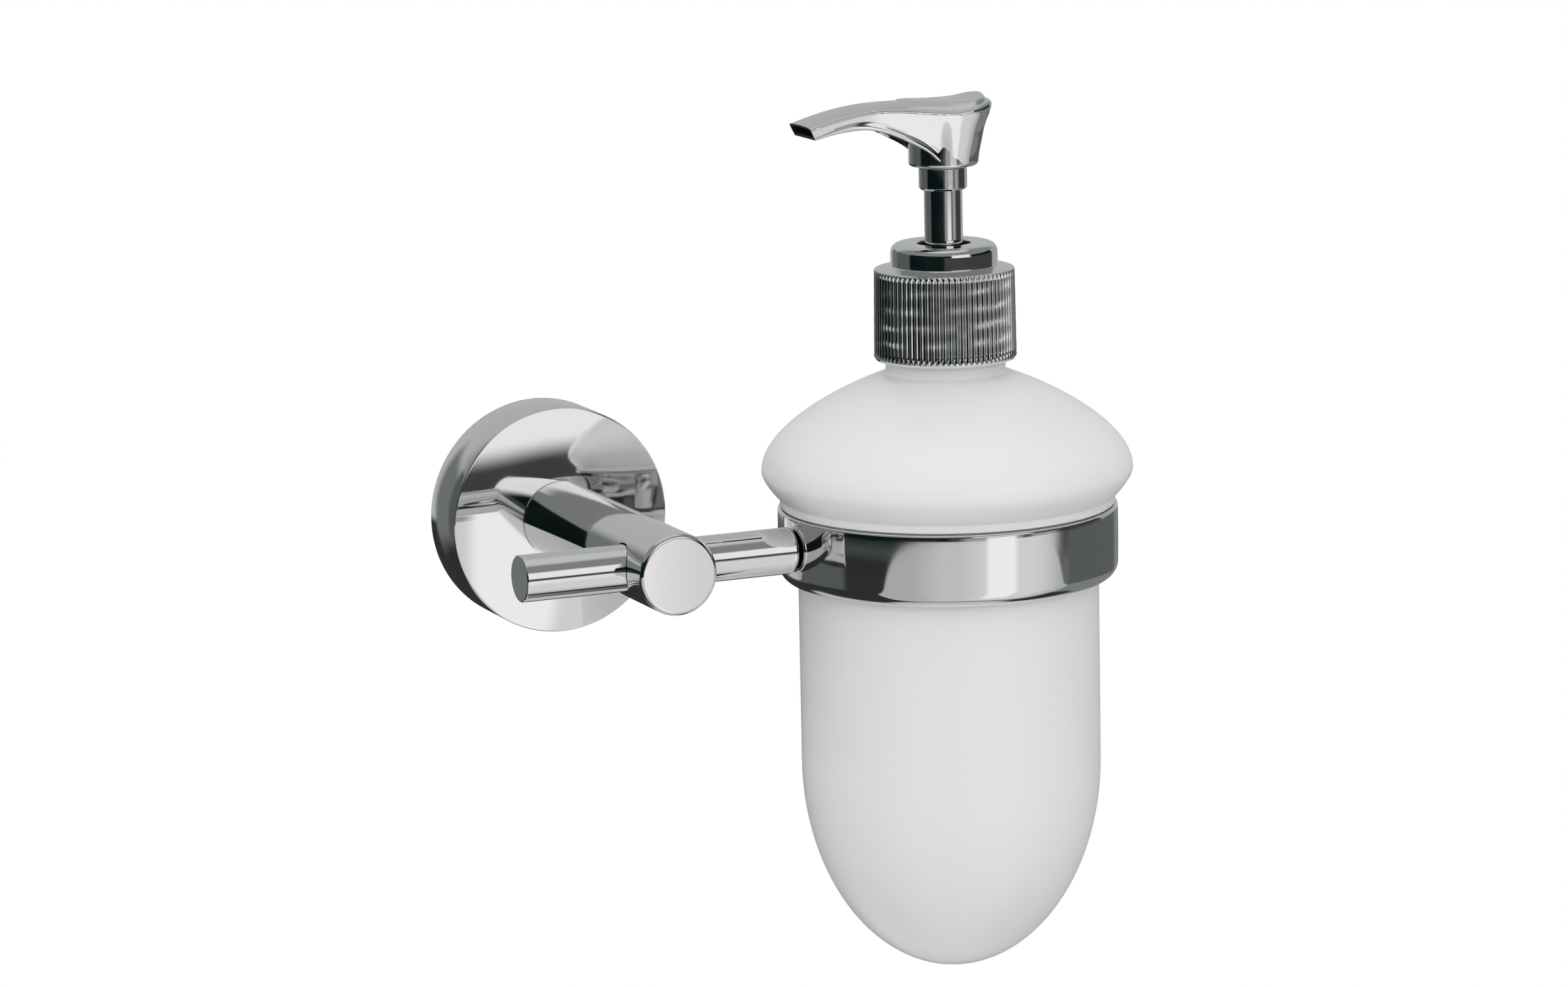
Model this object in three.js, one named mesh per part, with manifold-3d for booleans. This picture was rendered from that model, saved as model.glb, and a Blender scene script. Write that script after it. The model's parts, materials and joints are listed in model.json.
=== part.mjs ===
// Wall mounted soap dispenser: a round rosette and post on the wall, a crossbar through the post
// that carries a ring, and a glass bottle with a screwed lotion pump hanging in the ring.
// Millimetres, +Z up. The wall is the plane y = 0 and the object stands out along -Y.
// The origin is the centre of the wall face, on the axis of the post.

import * as THREE from 'three';
import { mergeVertices } from 'three/addons/utils/BufferGeometryUtils.js';
import Module from 'manifold-3d';

const wasm = await Module();
wasm.setup();

// ---------------------------------------------------------------- driving dimensions
const GAP = 0.3; // running or resting clearance between neighbours
const OVERCUT = 1; // how far a cutting tool runs past the face that it cuts
const FINE = 40; // sides of the large round pieces
const COARSE = 24; // sides of the small round pieces

const rosette = { radius: 27, depth: 16, wall: 1.5, face: 2, bevel: 0.5 };
const plate = { radius: 25, depth: 6, slotSpacing: 30, slotWidth: 5, slotLength: 9 };
const grub = { radius: 2, out: 3.2, head: -26.7, tip: -22.2, socket: 1.15, socketDepth: 2 };
const post = { radius: 9.45, front: 89.5, edge: 1.1 };
const postScrew = { shank: 3, head: 5.2, headDepth: 3, end: 31, socket: 2.3, socketDepth: 2 };
const bar = { radius: 5.4, out: 75.5, left: -33.3, right: 33.6, leftEdge: 0.5, rightEdge: 0.9 };
const barScrew = { radius: 1.7, head: -9, tip: -4.8, socket: 1, socketDepth: 1.6 };
const axis = { x: 73.5, y: -bar.out }; // the vertical axis of ring, bottle and pump
const ring = { radius: 39.6, wall: 1.6, top: 7.3, straight: -6.1, curl: 3.8, lip: 35.4 };
const ringScrew = { shank: 2, head: 3.4, end: 21, socket: 1.3, socketDepth: 1.1 };

const bottle = {
  wall: 3,
  bodyRadius: 35.05,
  bottom: -102.9,
  roundStart: -53.5, // the rounded end starts here
  shoulderFoot: -8.2,
  shoulderTop: -4.2,
  split: 1.5, // where the two solids of the glass meet
  beltRadius: 39,
  beltTop: 9.4,
  rimRadius: 43.15,
  rimHeight: 15.7,
  domeTop: 38.3,
  neckRadius: 13.9,
  neckTop: 58,
  neckBore: 10.5,
};

const collar = { foot: 41.5, radius: 16.55, topRadius: 16.3, shoulder: 62.2, tierRadius: 12.4 };
const collarTop = { height: 68.5, plate: 1.5, round: 2, hole: 6.2, tierBore: 9.8, skirtBore: 14.3 };
const gasket = { inner: 10.8, outer: 13.4, thickness: 1 };
const housing = { bore: 6, wall: 1.2, foot: 10, floor: 24, flangeRadius: 13.4, flange: 1.2, top: 65.8 };
const socketTube = { bore: 3, outer: 4.2, stop: 18.9, seat: 2, chamber: 3.2 };
const ball = { radius: 2.6, height: 21.4 };
const tube = { outer: 2.7, inner: 1.9, top: 18.6, end: -95 };
const guide = { bore: 4.75, radius: 7.3, flangeRadius: 9.2, foot: 62.3, top: 66.7, flange: 0.6 };
const seal = { outer: 5.7, foot: 60.8, top: 62 };
const stem = { core: 3.1, bore: 1.7, foot: 46.3, top: 93 };
const stemSleeve = { outer: 4.44, foot: 54, top: 85.8 };
const piston = { radius: 5.7, top: 53 };
const spring = { radius: 4.6, wire: 0.45, turns: 7, stepsPerTurn: 10 };
const ferrule = { outer: 5.6, foot: 80.9, top: 86, chamfer: 0.5 };
const head = { foot: 86.4, hub: 8, tip: -35.8, halfTip: 6, skin: 1.2, outletSlope: 1.6, outletFoot: 94.6 };

// ---------------------------------------------------------------- materials
const finish = (color, roughness, metalness) => new THREE.MeshStandardMaterial({ color, roughness, metalness });
const chrome = () => finish(0xd4d8d8, 0.06, 1);
const steel = () => finish(0x9a9c9e, 0.3, 1);
const zinc = () => finish(0xa9acad, 0.45, 0.9);
const frosted = () => finish(0xe6e5e3, 0.5, 0);
const whitePlastic = () => finish(0xe9e9e6, 0.45, 0);
const darkPlastic = () => finish(0x141817, 0.4, 0);

// ---------------------------------------------------------------- solids
const WELD = 1e-4; // vertices closer than this are one

// The geometry with its vertices welded and without the triangles that this closes up.
function tidy(geometry) {
  geometry.deleteAttribute('normal');
  geometry.deleteAttribute('uv');
  const merged = mergeVertices(geometry, WELD);
  const index = merged.index.array;
  const kept = [];
  for (let i = 0; i < index.length; i += 3) {
    const [a, b, c] = [index[i], index[i + 1], index[i + 2]];
    if (a !== b && b !== c && c !== a) kept.push(a, b, c);
  }
  merged.setIndex(kept);
  return merged;
}

function solid(geometry) {
  const clean = tidy(geometry);
  const vertProperties = new Float32Array(clean.attributes.position.array);
  const triVerts = new Uint32Array(clean.index.array);
  return new wasm.Manifold(new wasm.Mesh({ numProp: 3, vertProperties, triVerts }));
}

function geometryOf(manifold) {
  const mesh = manifold.getMesh();
  const geometry = new THREE.BufferGeometry();
  geometry.setAttribute('position', new THREE.BufferAttribute(new Float32Array(mesh.vertProperties), 3));
  geometry.setIndex(new THREE.BufferAttribute(new Uint32Array(mesh.triVerts), 1));
  return geometry;
}

const cut = (body, ...tools) => tools.reduce((left, tool) => left.subtract(tool), body);

// A profile of [radius, height] pairs, up the outside and down the inside, turned about Z.
function turned(profile, sides = FINE) {
  const points = profile.map(([radius, height]) => new THREE.Vector2(radius, height));
  return new THREE.LatheGeometry(points, sides).rotateX(Math.PI / 2);
}

// The same, turned about the post's axis: heights are distances out from the wall.
const turnedOut = (profile, sides = FINE) => turned(profile, sides).rotateX(Math.PI / 2);

// The same, turned about the crossbar's axis: heights are places along X.
const turnedAcross = (profile, sides = FINE) =>
  turned(profile, sides).rotateY(Math.PI / 2).translate(0, axis.y, 0);

const onAxis = (geometry) => geometry.translate(axis.x, axis.y, 0);

// A closed tube or rod as a profile for the turning functions.
const sleeve = (inner, outer, foot, top) => [
  [inner, foot], [outer, foot], [outer, top], [inner, top], [inner, foot],
];
const rod = (radius, foot, top) => [[0, foot], [radius, foot], [radius, top], [0, top]];

// Points on a quarter round or any other arc, angles in degrees from +r towards +z.
function arc(r, z, radius, from, to, steps = 5) {
  const points = [];
  for (let i = 0; i <= steps; i += 1) {
    const angle = THREE.MathUtils.degToRad(from + ((to - from) * i) / steps);
    points.push([r + radius * Math.cos(angle), z + radius * Math.sin(angle)]);
  }
  return points;
}

// A hexagon key socket, measured across the corners.
const keySocket = (radius, foot, top) => turned(rod(radius, foot, top), 6);

// An outline in the XZ plane, extruded along Y and centred on the axis of the bottle.
function extrudedAcross(points, halfWidth) {
  const shape = new THREE.Shape(points.map(([x, z]) => new THREE.Vector2(x, z)));
  const geometry = new THREE.ExtrudeGeometry(shape, { depth: 2 * halfWidth, bevelEnabled: false });
  return onAxis(geometry.rotateX(Math.PI / 2).translate(0, halfWidth, 0));
}

// ---------------------------------------------------------------- holder on the wall
function makeWallPlate() {
  const disc = solid(turnedOut(rod(plate.radius, 0, plate.depth)));
  const slot = new THREE.Shape();
  const reach = (plate.slotLength - plate.slotWidth) / 2;
  slot.absarc(0, reach, plate.slotWidth / 2, 0, Math.PI);
  slot.absarc(0, -reach, plate.slotWidth / 2, Math.PI, 2 * Math.PI);
  const slots = [-1, 1].map((side) => {
    const options = { depth: 3 * plate.depth, bevelEnabled: false, curveSegments: 8 };
    const geometry = new THREE.ExtrudeGeometry(slot, options).rotateX(Math.PI / 2);
    return solid(geometry.translate((side * plate.slotSpacing) / 2, plate.depth, 0));
  });
  const grubHole = turned(rod(grub.radius + GAP, -plate.radius - OVERCUT, grub.tip + GAP), COARSE);
  return cut(disc, ...slots, solid(grubHole.translate(0, -grub.out, 0)));
}

function makeRosette() {
  const { radius, depth, wall, face, bevel } = rosette;
  const bore = postScrew.shank + GAP;
  const cup = solid(turnedOut([
    [radius - wall, 0], [radius, 0], [radius, depth - bevel], [radius - bevel, depth],
    [bore, depth], [bore, depth - face], [radius - wall, depth - face], [radius - wall, 0],
  ]));
  const grubHole = turned(rod(grub.radius + GAP, -radius - OVERCUT, wall - radius + OVERCUT), COARSE);
  return cut(cup, solid(grubHole.translate(0, -grub.out, 0)));
}

function makeGrubScrew() {
  const shank = solid(turned(rod(grub.radius, grub.head, grub.tip), COARSE));
  const socket = solid(keySocket(grub.socket, grub.head - OVERCUT, grub.head + grub.socketDepth));
  return cut(shank, socket).translate([0, -grub.out, 0]);
}

function makePost() {
  const back = rosette.depth + GAP;
  const bore = postScrew.shank + GAP;
  const boreEnd = postScrew.end + 1;
  const body = solid(turnedOut([
    [bore, back], [post.radius, back],
    ...arc(post.radius - post.edge, post.front - post.edge, post.edge, 0, 90, 4),
    [0, post.front], [0, boreEnd], [bore, boreEnd], [bore, back],
  ]));
  const barBore = turnedAcross(rod(bar.radius + GAP, -2 * post.radius, 2 * post.radius));
  const screwBore = turned(rod(barScrew.radius + GAP, -post.radius - OVERCUT, 0), COARSE);
  return cut(body, solid(barBore), solid(screwBore.translate(0, axis.y, 0)));
}

function makePostScrew() {
  const headTop = rosette.depth - rosette.face - GAP;
  const headFoot = headTop - postScrew.headDepth;
  const body = solid(turnedOut([
    [0, headFoot], [postScrew.head, headFoot], [postScrew.head, headTop],
    [postScrew.shank, headTop], [postScrew.shank, postScrew.end], [0, postScrew.end],
  ], COARSE));
  const socket = keySocket(postScrew.socket, headFoot - OVERCUT, headFoot + postScrew.socketDepth);
  return cut(body, solid(socket.rotateX(Math.PI / 2)));
}

function makeCrossbar() {
  const { radius, left, right, leftEdge, rightEdge } = bar;
  const bore = ringScrew.shank + GAP;
  const boreEnd = ringScrew.end - 1;
  const body = solid(turnedAcross([
    [0, left], [radius - leftEdge, left], [radius, left + leftEdge],
    [radius, right - rightEdge], [radius - rightEdge, right],
    [bore, right], [bore, boreEnd], [0, boreEnd],
  ]));
  const dimple = turned(rod(barScrew.radius + GAP, -radius - OVERCUT, barScrew.tip + GAP), COARSE);
  return cut(body, solid(dimple.translate(0, axis.y, 0)));
}

function makeBarScrew() {
  const { radius, head: face, tip, socket: across, socketDepth } = barScrew;
  const shank = solid(turned(rod(radius, face, tip), COARSE));
  const socket = solid(keySocket(across, face - OVERCUT, face + socketDepth));
  return cut(shank, socket).translate([0, axis.y, 0]);
}

function makeRing() {
  const { radius, wall, top, straight, curl, lip } = ring;
  const edge = wall / 2;
  const body = solid(onAxis(turned([
    ...arc(radius - curl, straight, curl, -90, 0),
    ...arc(radius - edge, top - edge, edge, 0, 180, 4),
    ...arc(radius - curl, straight, curl - wall, 0, -90),
    [lip, straight - curl + wall], [lip, straight - curl], [radius - curl, straight - curl],
  ])));
  const outside = axis.x - radius;
  const inside = outside + wall;
  const shankBore = ringScrew.shank + GAP;
  const headBore = ringScrew.head + 2 * GAP;
  const bore = turnedAcross([
    [0, outside - 2 * OVERCUT], [shankBore, outside - 2 * OVERCUT], [shankBore, outside - 0.1],
    [headBore, inside + 0.2], [headBore, inside + 3 * OVERCUT], [0, inside + 3 * OVERCUT],
  ], COARSE);
  return cut(body, solid(bore));
}

function makeRingScrew() {
  const { shank, head: headRadius, end, socket: across, socketDepth } = ringScrew;
  const face = axis.x - ring.radius + ring.wall - 0.1;
  const body = solid(turnedAcross([
    [0, end], [shank, end], [shank, face - (headRadius - shank)], [headRadius, face], [0, face],
  ], COARSE));
  const socket = turnedAcross(rod(across, face - socketDepth, face + OVERCUT), 6);
  return cut(body, solid(socket));
}

// ---------------------------------------------------------------- glass bottle
// The rounded end of the body: a quarter of an ellipse, from the axis out to the wall.
function roundedEnd(radius, bottom, steps) {
  const depth = bottle.roundStart - bottom;
  const points = [];
  for (let i = 0; i <= steps; i += 1) {
    const angle = ((i / steps) * Math.PI) / 2;
    points.push([radius * Math.sin(angle), bottle.roundStart - depth * Math.cos(angle)]);
  }
  return points;
}

// The dome, from its undercut foot round the rim and up to the neck. The inset moves it inwards.
function dome(inset, footRadius, footHeight, neckRadius, steps) {
  const rim = new THREE.Vector2(bottle.rimRadius - inset, bottle.rimHeight);
  const foot = new THREE.Vector2(footRadius, footHeight);
  const neck = new THREE.Vector2(neckRadius, bottle.domeTop - 1.1 * inset);
  const under = new THREE.CubicBezierCurve(
    foot, new THREE.Vector2(foot.x + 0.4, foot.y + 0.3), new THREE.Vector2(rim.x, rim.y - 2.1), rim);
  const over = new THREE.CubicBezierCurve(
    rim, new THREE.Vector2(rim.x, rim.y + 9.3 - inset), new THREE.Vector2(neck.x + 11, neck.y - 3.9), neck);
  const lower = under.getPoints(Math.ceil(steps / 2)).slice(0, -1);
  return [...lower, ...over.getPoints(steps)].map((point) => [point.x, point.y]);
}

// The glass is one moulding, given as two solids that meet inside the ring: the body and the dome.
const inRing = ring.radius - ring.wall - 2 * GAP;

function makeGlassBody() {
  const { wall, bodyRadius, bottom, shoulderFoot, shoulderTop, split } = bottle;
  const top = split - GAP / 2;
  const outside = [
    ...roundedEnd(bodyRadius, bottom, 9), [bodyRadius, shoulderFoot], [inRing, shoulderTop], [inRing, top],
  ];
  const inside = [
    ...roundedEnd(bodyRadius - wall, bottom + wall, 6),
    [bodyRadius - wall, shoulderFoot], [inRing - wall, shoulderTop], [inRing - wall, top],
  ];
  return solid(onAxis(turned([...outside, ...inside.reverse()])));
}

function makeGlassDome() {
  const { wall, beltRadius, beltTop, neckRadius, neckBore, neckTop, split } = bottle;
  const foot = split + GAP / 2;
  const beltFoot = ring.top + GAP;
  const outside = [
    [inRing, foot], [inRing, beltFoot], [beltRadius, beltFoot],
    ...dome(0, beltRadius, beltTop, neckRadius, 9), [neckRadius, neckTop],
  ];
  const inside = [
    [inRing - wall, foot], ...dome(wall, inRing - wall, beltTop, neckBore, 6), [neckBore, neckTop],
  ];
  return solid(onAxis(turned([...outside, ...inside.reverse(), outside[0]])));
}

// ---------------------------------------------------------------- pump fixed in the neck
function makeGasket() {
  const foot = bottle.neckTop + GAP;
  return solid(onAxis(turned(sleeve(gasket.inner, gasket.outer, foot, foot + gasket.thickness), COARSE)));
}

function makeHousing() {
  const { bore, wall, foot, floor, flangeRadius, flange, top } = housing;
  const seatTop = socketTube.stop + 0.4;
  const flangeFoot = bottle.neckTop + gasket.thickness + 2 * GAP;
  return solid(onAxis(turned([
    [socketTube.bore, foot], [socketTube.outer, foot], [socketTube.outer, floor - 3.4],
    [bore + wall, floor - 2], [bore + wall, flangeFoot], [flangeRadius, flangeFoot],
    [flangeRadius, flangeFoot + flange], [guide.flangeRadius, flangeFoot + flange],
    [guide.flangeRadius, top], [guide.radius + GAP, top], [guide.radius + GAP, guide.foot],
    [bore, guide.foot], [bore, floor], [socketTube.chamber, floor],
    [socketTube.chamber, seatTop + socketTube.chamber - socketTube.seat],
    [socketTube.seat, seatTop], [socketTube.seat, socketTube.stop],
    [socketTube.bore, socketTube.stop], [socketTube.bore, foot],
  ], COARSE)));
}

function makeGuide() {
  const { bore, radius, flangeRadius, foot, top, flange } = guide;
  return solid(onAxis(turned([
    [bore, foot], [radius, foot], [radius, top - flange], [flangeRadius, top - flange],
    [flangeRadius, top], [bore, top], [bore, foot],
  ], COARSE)));
}

const makeSeal = () => solid(onAxis(turned(sleeve(guide.bore, seal.outer, seal.foot, seal.top), COARSE)));

const makeBall = () => solid(onAxis(new THREE.SphereGeometry(ball.radius, 12, 8).rotateX(Math.PI / 2))
  .translate(0, 0, ball.height));

function makeTube() {
  const long = solid(onAxis(turned(sleeve(tube.inner, tube.outer, tube.end, tube.top), COARSE)));
  const slant = new THREE.BoxGeometry(20, 20, 8).rotateY(Math.PI / 5);
  return cut(long, solid(slant.translate(axis.x, axis.y, tube.end - 3.4)));
}

function makeSpring() {
  const foot = housing.floor + GAP + spring.wire;
  const top = stem.foot - GAP - spring.wire;
  class Helix extends THREE.Curve {
    getPoint(t) {
      const angle = 2 * Math.PI * spring.turns * t;
      return new THREE.Vector3(
        spring.radius * Math.cos(angle), spring.radius * Math.sin(angle), foot + (top - foot) * t);
    }
  }
  const wire = new THREE.Shape();
  wire.absarc(0, 0, spring.wire, 0, 2 * Math.PI);
  const steps = spring.turns * spring.stepsPerTurn;
  const options = { steps, curveSegments: 3, bevelEnabled: false, extrudePath: new Helix() };
  return solid(onAxis(new THREE.ExtrudeGeometry(wire, options)));
}

// ---------------------------------------------------------------- screwed collar
function makeCollar() {
  const { foot, radius, topRadius, shoulder, tierRadius } = collar;
  const { height, plate: thick, round, hole, tierBore, skirtBore } = collarTop;
  const inside = bottle.neckTop + gasket.thickness + housing.flange + 3.5 * GAP;
  return solid(onAxis(turned([
    [skirtBore, foot], [radius - 0.6, foot], [radius, foot + 0.6], [topRadius, shoulder],
    [topRadius - 0.5, shoulder + 0.5], [tierRadius + 0.3, shoulder + 1], [tierRadius, shoulder + 1.3],
    ...arc(tierRadius - round, height - round, round, 0, 90, 5),
    [hole, height], [hole, height - thick], [tierBore, height - thick], [tierBore, inside],
    [skirtBore, inside], [skirtBore, foot],
  ])));
}

// ---------------------------------------------------------------- plunger
const makeStemCore = () => solid(onAxis(turned(sleeve(stem.bore, stem.core, stem.foot, stem.top), COARSE)));

const makeStemSleeve = () => solid(onAxis(turned(
  sleeve(stem.core + GAP, stemSleeve.outer, stemSleeve.foot, stemSleeve.top), COARSE)));

function makePiston() {
  const inner = stem.core + GAP;
  const waist = piston.radius - 0.9;
  return solid(onAxis(turned([
    [inner, stem.foot], [piston.radius, stem.foot], [piston.radius, stem.foot + 1.6],
    [waist, stem.foot + 2.4], [waist, piston.top - 2.4], [piston.radius, piston.top - 1.6],
    [piston.radius, piston.top], [inner, piston.top], [inner, stem.foot],
  ], COARSE)));
}

function makeFerrule() {
  const inner = stemSleeve.outer + GAP;
  const { outer, foot, top, chamfer } = ferrule;
  return solid(onAxis(turned([
    [inner, foot], [outer - chamfer, foot], [outer, foot + chamfer], [outer, top],
    [inner, top], [inner, foot],
  ], COARSE)));
}

// ---------------------------------------------------------------- pump head
// Side outline of the head, x from the pump's axis and height: over the spout and the thumb rest,
// down the back of the hub, and back along the lower edge of the skirt to the outlet.
const headOver = [
  [head.tip, 97.9], [-27, 100.2], [-18, 101.1], [-9, 101.4], [-1, 101.2], [4, 101.8],
  [9, 102.8], [11.6, 102.5], [12.9, 100.8], [12.5, 98.8], [10.9, 95.6], [9.7, 91.3], [8.9, 87.4],
];
const headUnder = [
  [8, head.foot], [-2.2, head.foot], [-3.8, 88], [-6.9, 90.8], [-11.3, 93.6], [-16.5, 95.7],
  [-22, 96.6], [-28, 96.3],
];
// The hub's flare up to the thumb rest, as a turned profile.
const headFlare = [
  [0, head.foot - OVERCUT], [8.1, head.foot - OVERCUT], [8.3, 88], [8.7, 91.3], [9.4, 95],
  [10.8, 98.2], [13.2, 100.6], [13.2, 110], [0, 110],
];

const smooth = (points, steps) => new THREE.SplineCurve(points.map(([x, z]) => new THREE.Vector2(x, z)))
  .getPoints(steps)
  .map((point) => [point.x, point.y]);

// One side of the head's plan outline: narrow spout, wider thumb rest with a round back.
const headSide = [
  [head.tip - OVERCUT, head.halfTip], [-26, head.halfTip + 0.1], [-15, 6.5], [-6, 7.9], [2, 9],
  [8, 8.2], [11.8, 4.6], [13, 0],
];

// The plan outline of the head as a block from below the hub to above the thumb rest.
function makeHeadPlan() {
  const near = smooth(headSide, 20);
  const far = near.slice(0, -1).reverse().map(([x, y]) => [x, -y]);
  const shape = new THREE.Shape([...near, ...far].map(([x, y]) => new THREE.Vector2(x, y)));
  const geometry = new THREE.ExtrudeGeometry(shape, { depth: 30, bevelEnabled: false });
  return solid(onAxis(geometry.translate(0, 0, head.foot - 5)));
}

function makeHead() {
  const { foot, hub, skin, tip, outletSlope, outletFoot } = head;
  const side = [...smooth(headOver, 28), ...smooth(headUnder, 16), [tip + outletSlope, outletFoot]];
  const outer = solid(extrudedAcross(side, 12));
  const flow = smooth(headOver.slice(0, 5), 10);
  const roof = flow.map(([x, z]) => [x, z - skin]);
  const floor = flow.slice(0, 8).map(([x, z]) => [x, z - skin - 1.6]);
  const channel = extrudedAcross([
    [tip - 2, 96.6], ...roof.slice(1), [0, 94], [-3, 94], ...floor.reverse().slice(0, -1), [tip - 2, 95.2],
  ], 4.6);
  const pocket = extrudedAcross([
    [-23, foot - OVERCUT], [-23, 96.4], [-18, 97.2], [-12, 97.2], [-6, 96.6], [-6, foot - OVERCUT],
  ], 5.6);
  const hubSolid = solid(onAxis(turned(rod(hub, foot, 97.5))));
  const stemBore = solid(onAxis(turned(rod(stem.core + GAP, foot - OVERCUT, stem.top + 2), COARSE)));
  const flare = solid(onAxis(turned(headFlare)));
  const spoutRoom = new THREE.BoxGeometry(40, 40, 40).translate(axis.x - 22, axis.y, foot);
  const outline = outer.intersect(makeHeadPlan()).intersect(flare.add(solid(spoutRoom)));
  return cut(outline.subtract(solid(pocket)).add(hubSolid), solid(channel), stemBore);
}

// ---------------------------------------------------------------- assembly
const group = new THREE.Group();

function addNode(name, shape, material) {
  const mesh = new THREE.Mesh(geometryOf(shape), material);
  mesh.name = name;
  group.add(mesh);
}

addNode('wall_plate', makeWallPlate(), zinc());
addNode('rosette', makeRosette(), chrome());
addNode('rosette_grub_screw', makeGrubScrew(), steel());
addNode('post', makePost(), chrome());
addNode('post_screw', makePostScrew(), steel());
addNode('crossbar', makeCrossbar(), chrome());
addNode('crossbar_set_screw', makeBarScrew(), steel());
addNode('holder_ring', makeRing(), chrome());
addNode('ring_screw', makeRingScrew(), steel());

addNode('glass_body', makeGlassBody(), frosted());
addNode('glass_dome', makeGlassDome(), frosted());

addNode('neck_gasket', makeGasket(), whitePlastic());
addNode('pump_housing', makeHousing(), whitePlastic());
addNode('stem_guide', makeGuide(), darkPlastic());
addNode('stem_seal', makeSeal(), darkPlastic());
addNode('inlet_ball', makeBall(), steel());
addNode('dip_tube', makeTube(), whitePlastic());
addNode('return_spring', makeSpring(), steel());

addNode('collar', makeCollar(), chrome());

addNode('stem_core', makeStemCore(), whitePlastic());
addNode('stem_sleeve', makeStemSleeve(), chrome());
addNode('piston', makePiston(), whitePlastic());

addNode('pump_head', makeHead(), chrome());
addNode('ferrule', makeFerrule(), chrome());

export default group;
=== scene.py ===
import json
import math

import bmesh
import bpy
from mathutils import Matrix, Vector, noise


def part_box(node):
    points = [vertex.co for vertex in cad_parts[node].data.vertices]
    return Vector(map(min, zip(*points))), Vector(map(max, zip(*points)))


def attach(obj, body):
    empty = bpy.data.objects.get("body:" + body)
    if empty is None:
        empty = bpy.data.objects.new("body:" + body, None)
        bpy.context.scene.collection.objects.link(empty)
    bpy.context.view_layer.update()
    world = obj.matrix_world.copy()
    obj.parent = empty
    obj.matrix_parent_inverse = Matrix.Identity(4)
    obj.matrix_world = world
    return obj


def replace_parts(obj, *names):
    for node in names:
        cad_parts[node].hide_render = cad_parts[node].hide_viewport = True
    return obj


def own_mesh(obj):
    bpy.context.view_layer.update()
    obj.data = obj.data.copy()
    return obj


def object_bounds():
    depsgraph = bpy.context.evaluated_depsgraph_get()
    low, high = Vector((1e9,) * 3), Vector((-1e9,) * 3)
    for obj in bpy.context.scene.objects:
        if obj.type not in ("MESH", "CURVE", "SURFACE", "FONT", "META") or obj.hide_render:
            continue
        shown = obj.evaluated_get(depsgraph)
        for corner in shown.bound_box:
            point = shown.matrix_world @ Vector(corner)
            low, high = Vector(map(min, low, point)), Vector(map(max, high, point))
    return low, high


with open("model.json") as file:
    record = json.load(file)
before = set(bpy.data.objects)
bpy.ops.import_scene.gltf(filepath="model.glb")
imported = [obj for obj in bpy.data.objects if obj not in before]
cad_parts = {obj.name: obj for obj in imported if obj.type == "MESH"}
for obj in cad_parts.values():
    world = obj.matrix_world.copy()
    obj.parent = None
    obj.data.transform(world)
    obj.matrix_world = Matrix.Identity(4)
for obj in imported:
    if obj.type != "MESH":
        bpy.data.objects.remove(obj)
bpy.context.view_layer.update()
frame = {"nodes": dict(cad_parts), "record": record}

# Everything is in metres, in the row frame: the wall is y = 0, -Y is out of the wall, +Z is up.
MM = 0.001

# ------------------------------------------------------------------ camera
CAMERA_AZIMUTH = -23.36  # degrees, negative is from the left
CAMERA_ELEVATION = 10.88
CAMERA_ROLL = -1.15
CAMERA_DISTANCE = 1.3
CAMERA_LENS = 127.2  # mm on a 36 mm wide sensor
CAMERA_TARGET = Vector((0.04313, -0.050, 0.00806))


def make_camera():
    az, el = math.radians(CAMERA_AZIMUTH), math.radians(CAMERA_ELEVATION)
    back = Vector((math.sin(az) * math.cos(el), -math.cos(az) * math.cos(el), math.sin(el)))
    data = bpy.data.cameras.new("photo_camera")
    data.lens = CAMERA_LENS
    data.sensor_width = 36
    camera = bpy.data.objects.new("photo_camera", data)
    bpy.context.scene.collection.objects.link(camera)
    aim = (-back).to_track_quat("-Z", "Y").to_matrix()
    turn = aim @ Matrix.Rotation(math.radians(CAMERA_ROLL), 3, "Z")
    camera.matrix_world = Matrix.Translation(CAMERA_TARGET + back * CAMERA_DISTANCE) @ turn.to_4x4()
    bpy.context.scene.camera = camera


# ------------------------------------------------------------------ node helpers
def new_material(name):
    material = bpy.data.materials.new(name)
    material.use_nodes = True
    tree = material.node_tree
    tree.nodes.clear()
    output = tree.nodes.new("ShaderNodeOutputMaterial")
    shader = tree.nodes.new("ShaderNodeBsdfPrincipled")
    tree.links.new(shader.outputs[0], output.inputs[0])
    return material, tree, shader


def add_noise(tree, scale, detail=4.0, roughness=0.5, stretch=(1, 1, 1)):
    """A noise texture in object space; scale is features per metre."""
    coords = tree.nodes.new("ShaderNodeTexCoord")
    mapping = tree.nodes.new("ShaderNodeMapping")
    mapping.inputs["Scale"].default_value = stretch
    texture = tree.nodes.new("ShaderNodeTexNoise")
    texture.inputs["Scale"].default_value = scale
    texture.inputs["Detail"].default_value = detail
    texture.inputs["Roughness"].default_value = roughness
    tree.links.new(coords.outputs["Object"], mapping.inputs["Vector"])
    tree.links.new(mapping.outputs[0], texture.inputs["Vector"])
    return texture.outputs["Fac"]


def remap(tree, value, from_low, from_high, to_low, to_high):
    node = tree.nodes.new("ShaderNodeMapRange")
    for i, number in enumerate((from_low, from_high, to_low, to_high), start=1):
        node.inputs[i].default_value = number
    tree.links.new(value, node.inputs[0])
    return node.outputs[0]


def add_bump(tree, shader, height, strength, distance):
    bump = tree.nodes.new("ShaderNodeBump")
    bump.inputs["Strength"].default_value = strength
    bump.inputs["Distance"].default_value = distance
    tree.links.new(height, bump.inputs["Height"])
    tree.links.new(bump.outputs[0], shader.inputs["Normal"])


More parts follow.
